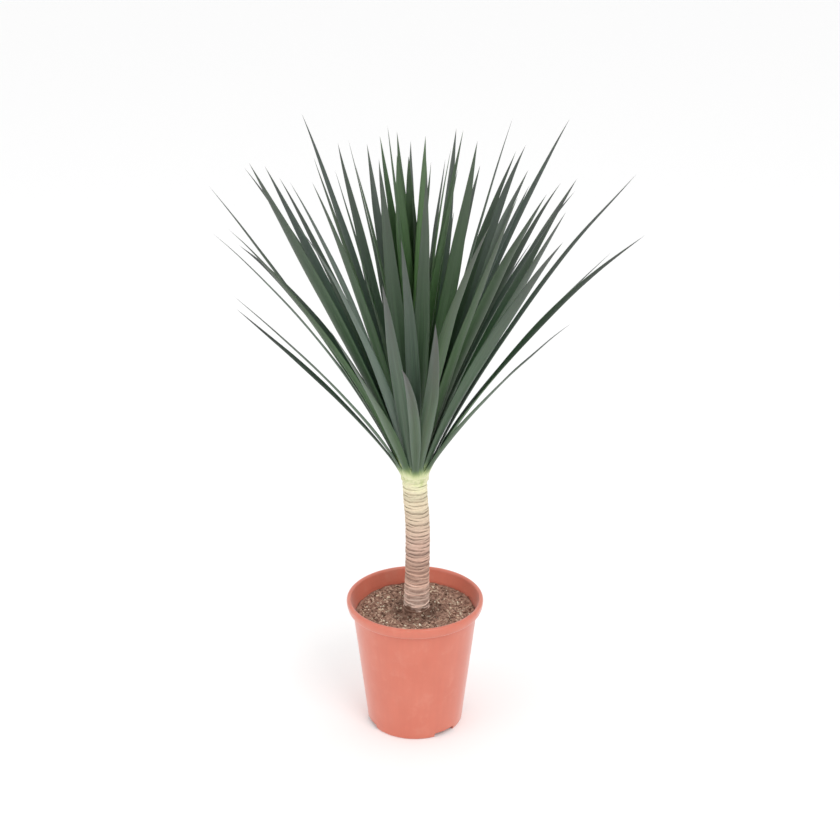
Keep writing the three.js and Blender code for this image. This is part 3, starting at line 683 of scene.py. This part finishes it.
def cane_tree():
    """The tree that turns the cane's core and rings it with leaf scars."""
    tree, size = new_geometry_tree("ringed_cane", {
        "Sides": 72, "Scars": 56, "First scar": 176 * MM, "Scar step": 3.5 * MM, "Scar height": 1.95 * MM,
        "Scar depth": 1.7 * MM, "Low tilt": math.radians(7.5), "High tilt": math.radians(3.8),
        "Core radius": 15.2 * MM, "Wobble": 1.1 * MM, "Seed": 5, "Material": cane_bark})
    core = turned(tree, outline(tree, [
        straight((0, 100), (18.2, 100), 2),
        ((18.2, 100), (19.5, 145), (20.2, 156), 8),
        ((20.2, 156), (20.4, 164), (18.6, 168), 10),
        ((18.6, 168), (17.2, 171), (16.9, 176), 6),
        ((16.9, 176), (16.4, 215), (15.3, 246), 16),
        ((15.3, 246), (14.6, 300), (15.4, 369), 20),
        ((15.4, 369), (18.3, 369.1), (18.8, 370.7), 5),
        ((18.8, 370.7), (18.5, 374), (19.5, 377.5), 6),
        ((19.5, 377.5), (19.9, 379.1), (18.6, 379.5), 5),
        ((18.6, 379.5), (16.6, 379.5), (16.3, 381), 4),
        ((16.3, 381), (16.2, 428), (0, 428), 16),
    ]), size["Sides"])
    core = add(tree, STORE, {"Geometry": core, "Name": "scar_tone", "Value": 0.5}, data_type="FLOAT")
    core = add(tree, STORE, {"Geometry": core, "Name": "ridge", "Value": 0.45}, data_type="FLOAT")
    # One ring at the origin: the section's cosine runs out from the cane and its sine up it.
    section = add(tree, "GeometryNodeCurvePrimitiveCircle", {"Resolution": 14, "Radius": 1.0})
    round_place = add(tree, SEPARATE, {0: add(tree, POSITION)})
    for name, axis in (("section_out", "X"), ("section_up", "Y")):
        section = add(tree, STORE, {
            "Geometry": section, "Name": name, "Value": round_place.outputs[axis]}, data_type="FLOAT")
    circle = add(tree, "GeometryNodeCurvePrimitiveCircle", {"Resolution": size["Sides"], "Radius": 1.0})
    circle = add(tree, STORE, {"Geometry": circle, "Name": "outward", "Value": add(tree, POSITION)},
                 data_type="FLOAT_VECTOR")
    ring = add(tree, "GeometryNodeCurveToMesh", {"Curve": circle, "Profile Curve": section})
    outward = add(tree, RECALL, {"Name": "outward"}, data_type="FLOAT_VECTOR")
    section_out = add(tree, RECALL, {"Name": "section_out"}, data_type="FLOAT")
    section_up = add(tree, RECALL, {"Name": "section_up"}, data_type="FLOAT")
    swell = add(tree, MATH, {0: section_out, 1: size["Scar depth"]}, operation="MULTIPLY")
    from_axis = add(tree, MATH, {0: swell, 1: size["Core radius"]}, operation="ADD")
    level = add(tree, VECTOR_MATH, {0: outward, "Scale": from_axis}, operation="SCALE")
    rise = add(tree, MATH, {0: section_up, 1: size["Scar height"]}, operation="MULTIPLY")
    point = add(tree, VECTOR_MATH, {0: level, 1: add(tree, COMBINE, {2: rise})}, operation="ADD")
    ring = add(tree, "GeometryNodeSetPosition", {"Geometry": ring, "Position": point})
    ridge = add(tree, RANGE, {0: section_out, 1: 0.0, 2: 1.0})
    ring = add(tree, STORE, {"Geometry": ring, "Name": "ridge", "Value": ridge}, data_type="FLOAT")
    # The rings climb the cane, each turned and tilted its own way.
    step = add(tree, COMBINE, {2: size["Scar step"]})
    start = add(tree, COMBINE, {2: size["First scar"]})
    seats = add(tree, "GeometryNodeMeshLine", {
        "Count": size["Scars"], "Start Location": start, "Offset": step})
    index = add(tree, "GeometryNodeInputIndex")
    height = add(tree, SEPARATE, {0: add(tree, POSITION)}).outputs["Z"]
    tilt = add(tree, RANGE, {0: height, 1: 0.17, 2: 0.35, 3: size["Low tilt"], 4: size["High tilt"]})
    spread = add(tree, "FunctionNodeRandomValue", {"Seed": size["Seed"], "Min": 0.4, "Max": 1.3},
                 data_type="FLOAT")
    tilt = add(tree, MATH, {0: tilt, 1: spread}, operation="MULTIPLY")
    turn = add(tree, MATH, {0: index, 1: GOLDEN_ANGLE}, operation="MULTIPLY")
    stout = add(tree, RANGE, {0: height, 1: 0.126, 2: 0.246, 3: 1.13, 4: 1.0},
                interpolation_type="SMOOTHSTEP")
    tall = add(tree, "FunctionNodeRandomValue", {"Seed": 31, "Min": 0.75, "Max": 1.15},
               data_type="FLOAT")
    rings = add(tree, "GeometryNodeInstanceOnPoints", {
        "Points": seats, "Instance": ring, "Rotation": add(tree, COMBINE, {0: tilt, 2: turn}),
        "Scale": add(tree, COMBINE, {0: stout, 1: stout, 2: tall})})
    tone = add(tree, "FunctionNodeRandomValue", {"Seed": 12, "Min": 0.0, "Max": 1.0}, data_type="FLOAT")
    rings = add(tree, STORE, {"Geometry": rings, "Name": "scar_tone", "Value": tone}, data_type="FLOAT",
                domain="INSTANCE")
    rings = add(tree, "GeometryNodeRealizeInstances", {0: rings})
    # Growth is never even: the rings wander up and down and swell and shrink as they go round.
    coarse = add(tree, NOISE, {"Vector": add(tree, POSITION), "Scale": 95.0, "Detail": 2.0}).outputs["Color"]
    coarse = add(tree, VECTOR_MATH, {0: coarse, 1: (0.5, 0.5, 0.5)}, operation="SUBTRACT")
    coarse = add(tree, VECTOR_MATH, {0: coarse, "Scale": size["Wobble"]}, operation="SCALE")
    coarse = add(tree, VECTOR_MATH, {0: coarse, 1: (1.3, 1.3, 3.0)}, operation="MULTIPLY")
    cane = add(tree, "GeometryNodeJoinGeometry")
    for part in (rings, core):
        tree.links.new(part.outputs[0], cane.inputs[0])
    cane = add(tree, "GeometryNodeSetPosition", {"Geometry": cane, "Offset": coarse})
    height = add(tree, SEPARATE, {0: add(tree, POSITION)}).outputs["Z"]
    lean = add(tree, COMBINE, {0: along_cane(tree, height)})
    cane = add(tree, "GeometryNodeSetPosition", {"Geometry": cane, "Offset": lean})
    cane = add(tree, "GeometryNodeSetShadeSmooth", {"Geometry": cane})
    close_tree(tree, cane, size["Material"])
    return tree


cane = make("ringed_cane", cane_tree(), {"Material": cane_bark})
print(f"the cane has {len(cane.data.polygons)} faces, volume {turn_out(cane) * 1e6:.0f} ml")
settle(cane, "cane_bark", "stem")

# %% [markdown]
# ## The potting soil
# The plant is sold in a coarse mix of peat, composted bark and a little wood fibre. Dry on top, it
# is a tan brown with darker gaps, with some pale bits of wood and a few light fibres. It stays
# darker and damper close round the stem.

# %% Soil material
def soil_material():
    material, tree, shader = new_material("peat_and_bark")
    place = add(tree, "ShaderNodeTexCoord").outputs["Object"]
    tone = add(tree, "ShaderNodeAttribute", attribute_name="crumb_tone").outputs["Fac"]
    grit = add(tree, NOISE, {"Vector": place, "Scale": 420.0, "Detail": 5.0, "Roughness": 0.7})
    mixed = add(tree, RANGE, {0: grit, 1: 0.3, 2: 0.7, 3: -0.1, 4: 0.1})
    mixed = add(tree, MATH, {0: tone, 1: mixed}, operation="ADD")
    earth = ramp(tree, mixed, [(0.0, "#513a30"), (0.15, "#785c4e"), (0.4, "#a17f6e"), (0.65, "#bd9a87"),
                               (0.85, "#cfb29c"), (0.95, "#e7d6ba"), (1.0, "#f1e8d3")])
    flat = add(tree, VECTOR_MATH, {0: place, 1: (1.0, 1.0, 0.0)}, operation="MULTIPLY")
    from_middle = add(tree, VECTOR_MATH, {0: flat}, operation="LENGTH").outputs["Value"]
    damp = add(tree, RANGE, {0: from_middle, 1: 0.024, 2: 0.044, 3: 0.45, 4: 0.0},
               interpolation_type="SMOOTHSTEP")
    earth = add(tree, MIX, {0: damp, 6: earth, 7: paint("#3a271d")}, data_type="RGBA")
    tree.links.new(earth.outputs[2], shader.inputs["Base Color"])
    relief = add(tree, "ShaderNodeBump", {"Height": grit, "Strength": 0.8, "Distance": 0.6 * MM})
    tree.links.new(relief.outputs[0], shader.inputs["Normal"])
    shader.inputs["Roughness"].default_value = 0.92
    shader.inputs["Specular IOR Level"].default_value = 0.2
    return material


peat = soil_material()

# %% [markdown]
# The soil fills the pot, so its body is turned like the pot's inside. Its top rises a little
# round the cane, where it was heaped to hold it upright, and is then made uneven.
# Crumbs, bark chips and fibres are then scattered over the top. Each is one of three small
# shapes with its own size, turn and tone, half sunk in the bed, as loose soil lies.

# %% Soil
def soil_tree():
    """The tree that fills the pot and scatters crumbs, chips and fibres on top."""
    tree, size = new_geometry_tree("potting_soil", {
        "Sides": 140, "Crumbs": 3.4, "Crumb size": 1.45, "Lumps": 11.0 * MM,
        "Clear of cane": 18 * MM, "Clear of wall": 81.5 * MM, "Seed": 3, "Material": peat})
    body = turned(tree, outline(tree, [
        straight((0, 9.4), (64.4, 9.4), 3),
        straight((64.4, 9.4), (83.4, 165.5), 6),
        straight((83.4, 165.5), (56, 167.5), 20),
        straight((56, 167.5), (34, 168.5), 16),
        ((34, 168.5), (22, 169.5), (17, 173.5), 12),
        straight((17, 173.5), (0, 174), 12),
    ]), size["Sides"])
    place = add(tree, SEPARATE, {0: add(tree, POSITION)})
    top = add(tree, MATH, {0: place.outputs["Z"], 1: 0.164}, operation="GREATER_THAN")
    slope_right = add(tree, MATH, {0: place.outputs["X"], 1: 0.022}, operation="MULTIPLY")
    slope_back = add(tree, MATH, {0: place.outputs["Y"], 1: 0.042}, operation="MULTIPLY")
    slope = add(tree, MATH, {0: slope_right, 1: slope_back}, operation="ADD")
    lumps = add(tree, NOISE, {
        "Vector": add(tree, POSITION), "Scale": 75.0, "Detail": 5.0, "Roughness": 0.62})
    lumps = add(tree, MATH, {0: lumps, 1: 0.5}, operation="SUBTRACT")
    lumps = add(tree, MATH, {0: lumps, 1: size["Lumps"]}, operation="MULTIPLY")
    lift = add(tree, MATH, {0: slope, 1: lumps}, operation="ADD")
    body = add(tree, "GeometryNodeSetPosition", {
        "Geometry": body, "Selection": top, "Offset": add(tree, COMBINE, {2: lift})})
    patch = add(tree, NOISE, {"Vector": add(tree, POSITION), "Scale": 230.0, "Detail": 3.0})
    patch = add(tree, RANGE, {0: patch, 1: 0.3, 2: 0.7, 3: 0.02, 4: 0.62})
    body = add(tree, STORE, {"Geometry": body, "Name": "crumb_tone", "Value": patch}, data_type="FLOAT")
    # Three small shapes: a rough crumb, a flat chip of bark and a bent fibre.
    ball = add(tree, "GeometryNodeMeshIcoSphere", {"Radius": 1.0 * MM, "Subdivisions": 2})
    bumps = add(tree, NOISE, {"Vector": add(tree, POSITION), "Scale": 900.0, "Detail": 1.0}).outputs["Color"]
    bumps = add(tree, VECTOR_MATH, {0: bumps, 1: (0.5, 0.5, 0.5)}, operation="SUBTRACT")
    bumps = add(tree, VECTOR_MATH, {0: bumps, "Scale": 1.7 * MM}, operation="SCALE")
    crumb = add(tree, "GeometryNodeSetPosition", {"Geometry": ball, "Offset": bumps})
    block = add(tree, "GeometryNodeMeshCube", {"Size": (3.4 * MM, 1.7 * MM, 0.7 * MM), "Vertices X": 3,
                                               "Vertices Y": 3, "Vertices Z": 2})
    chip = add(tree, "GeometryNodeSetPosition", {"Geometry": block, "Offset": bumps})
    bend = add(tree, "GeometryNodeCurvePrimitiveBezierSegment", {
        "Start": (-3.5 * MM, 0, 0), "Start Handle": (-1 * MM, 1.6 * MM, 0.7 * MM),
        "End Handle": (1 * MM, -1.2 * MM, 0.2 * MM), "End": (3.5 * MM, 0.6 * MM, 0.6 * MM),
        "Resolution": 6}, mode="POSITION")
    thread = add(tree, "GeometryNodeCurvePrimitiveCircle", {"Resolution": 5, "Radius": 0.22 * MM})
    fibre = add(tree, "GeometryNodeCurveToMesh", {"Curve": bend, "Profile Curve": thread, "Fill Caps": True})
    shapes = add(tree, "GeometryNodeGeometryToInstance")
    for shape in (fibre, chip, crumb):
        tree.links.new(shape.outputs[0], shapes.inputs[0])
    # They lie where the bed's top is, clear of the cane and of the wall.
    level = add(tree, VECTOR_MATH, {0: add(tree, POSITION), 1: (1, 1, 0)}, operation="MULTIPLY")
    from_axis = add(tree, VECTOR_MATH, {0: level}, operation="LENGTH").outputs["Value"]
    clear = add(tree, MATH, {0: from_axis, 1: size["Clear of cane"]}, operation="GREATER_THAN")
    inside = add(tree, MATH, {0: from_axis, 1: size["Clear of wall"]}, operation="LESS_THAN")
    on_top = add(tree, MATH, {0: top, 1: clear}, operation="MULTIPLY")
    on_top = add(tree, MATH, {0: on_top, 1: inside}, operation="MULTIPLY")
    per_area = add(tree, MATH, {0: size["Crumbs"], 1: 25000.0}, operation="MULTIPLY")
    seats = add(tree, "GeometryNodeDistributePointsOnFaces", {
        "Mesh": body, "Selection": on_top, "Density": per_area, "Seed": size["Seed"]},
        distribute_method="RANDOM")
    pick = add(tree, "FunctionNodeRandomValue", {"Seed": 1, "Min": 0.0, "Max": 1.0}, data_type="FLOAT")
    pick = add(tree, RANGE, {0: pick, 1: 0.0, 2: 1.0, 3: -0.4, 4: 2.49})
    pick = add(tree, MATH, {0: pick}, operation="ROUND")
    spin = add(tree, "FunctionNodeRandomValue", {
        "Seed": 2, "Min": (-0.7, -0.7, 0.0), "Max": (0.7, 0.7, 6.28)}, data_type="FLOAT_VECTOR")
    grown = add(tree, "FunctionNodeRandomValue", {
        "Seed": 4, "Min": (0.5, 0.5, 0.4), "Max": (1.7, 1.5, 1.1)}, data_type="FLOAT_VECTOR")
    # Those by the wall are small, so that none reaches through it.
    by_wall = add(tree, RANGE, {0: from_axis, 1: 0.074, 2: size["Clear of wall"], 3: 1.0, 4: 0.4})
    by_wall = add(tree, MATH, {0: by_wall, 1: size["Crumb size"]}, operation="MULTIPLY")
    grown = add(tree, VECTOR_MATH, {0: grown, "Scale": by_wall}, operation="SCALE")
    crumbs = add(tree, "GeometryNodeInstanceOnPoints", {
        "Points": seats, "Instance": shapes, "Pick Instance": True, "Instance Index": pick,
        "Rotation": spin, "Scale": grown})
    tone = add(tree, "FunctionNodeRandomValue", {"Seed": 9, "Min": 0.0, "Max": 1.0}, data_type="FLOAT")
    crumbs = add(tree, STORE, {"Geometry": crumbs, "Name": "crumb_tone", "Value": tone},
                 data_type="FLOAT", domain="INSTANCE")
    crumbs = add(tree, "GeometryNodeRealizeInstances", {0: crumbs})
    soil = add(tree, "GeometryNodeJoinGeometry")
    for part in (crumbs, body):
        tree.links.new(part.outputs[0], soil.inputs[0])
    soil = add(tree, "GeometryNodeSetShadeSmooth", {"Geometry": soil})
    close_tree(tree, soil, size["Material"])
    return tree


soil = make("potting_soil", soil_tree(), {"Material": peat})
print(f"the soil has {len(soil.data.polygons)} faces, volume {turn_out(soil) * 1e6:.0f} ml")
settle(soil, "potting_soil", "soil")

# %% [markdown]
# ## The floor
# The plant stands in a studio, on a plain pale floor. A curved sheet of paper would hide the far
# edge, but a flat floor that reaches a long way does the same and is one face.

# %% Floor
FLOOR_REACH = 40.0


def pale_floor():
    """A wide matt floor under the pot."""
    mesh = bpy.data.meshes.new("floor")
    corners = [(x * FLOOR_REACH, y * FLOOR_REACH, 0.0) for x, y in ((-1, -1), (1, -1), (1, 1), (-1, 1))]
    mesh.from_pydata(corners, [], [(0, 1, 2, 3)])
    floor = bpy.data.objects.new("floor", mesh)
    bpy.context.scene.collection.objects.link(floor)
    material, tree, shader = new_material("pale_floor")
    shader.inputs["Base Color"].default_value = paint("#fbfbfb")
    shader.inputs["Roughness"].default_value = 0.9
    mesh.materials.append(material)


pale_floor()

# %% [markdown]
# ## Light and camera
# A bright even surround and two large soft lights, as in a studio: the key from the right of the
# camera and a weaker fill from the left. Colours are shown as they are, with no film-like curve.
# The camera looks down at the plant from the front, through a slightly long lens.

# %% Light and camera
def soft_light(name, place, target, width, power):
    """A large square light at a place, aimed at a target."""
    light = bpy.data.lights.new(name, "AREA")
    light.shape = "SQUARE"
    light.size = width
    light.energy = power
    lamp = bpy.data.objects.new(name, light)
    lamp.location = place
    lamp.rotation_euler = (target - Vector(place)).to_track_quat("-Z", "Y").to_euler()
    bpy.context.scene.collection.objects.link(lamp)


middle = Vector((0.0, 0.0, 0.4))
soft_light("key", (1.1, -2.0, 2.4), middle, 1.4, 26)
soft_light("fill", (-2.2, -1.2, 1.4), middle, 1.6, 9)
world = bpy.data.worlds.new("studio")
world.use_nodes = True
world.node_tree.nodes["Background"].inputs["Color"].default_value = (1.0, 1.0, 1.0, 1.0)
world.node_tree.nodes["Background"].inputs["Strength"].default_value = 1.0
bpy.context.scene.world = world
bpy.context.scene.view_settings.view_transform = "Standard"

CAMERA_PLACE = (0.007, -2.030, 1.288)
CAMERA_PITCH = math.radians(22.3)
SENSOR_WIDTH_MM, LENS_MM = 36, 70.7
lens = bpy.data.cameras.new("camera")
lens.sensor_width = SENSOR_WIDTH_MM
lens.lens = LENS_MM
camera = bpy.data.objects.new("camera", lens)
camera.location = CAMERA_PLACE
camera.rotation_euler = (math.radians(90) - CAMERA_PITCH, 0.0, 0.0)
bpy.context.scene.collection.objects.link(camera)
bpy.context.scene.camera = camera
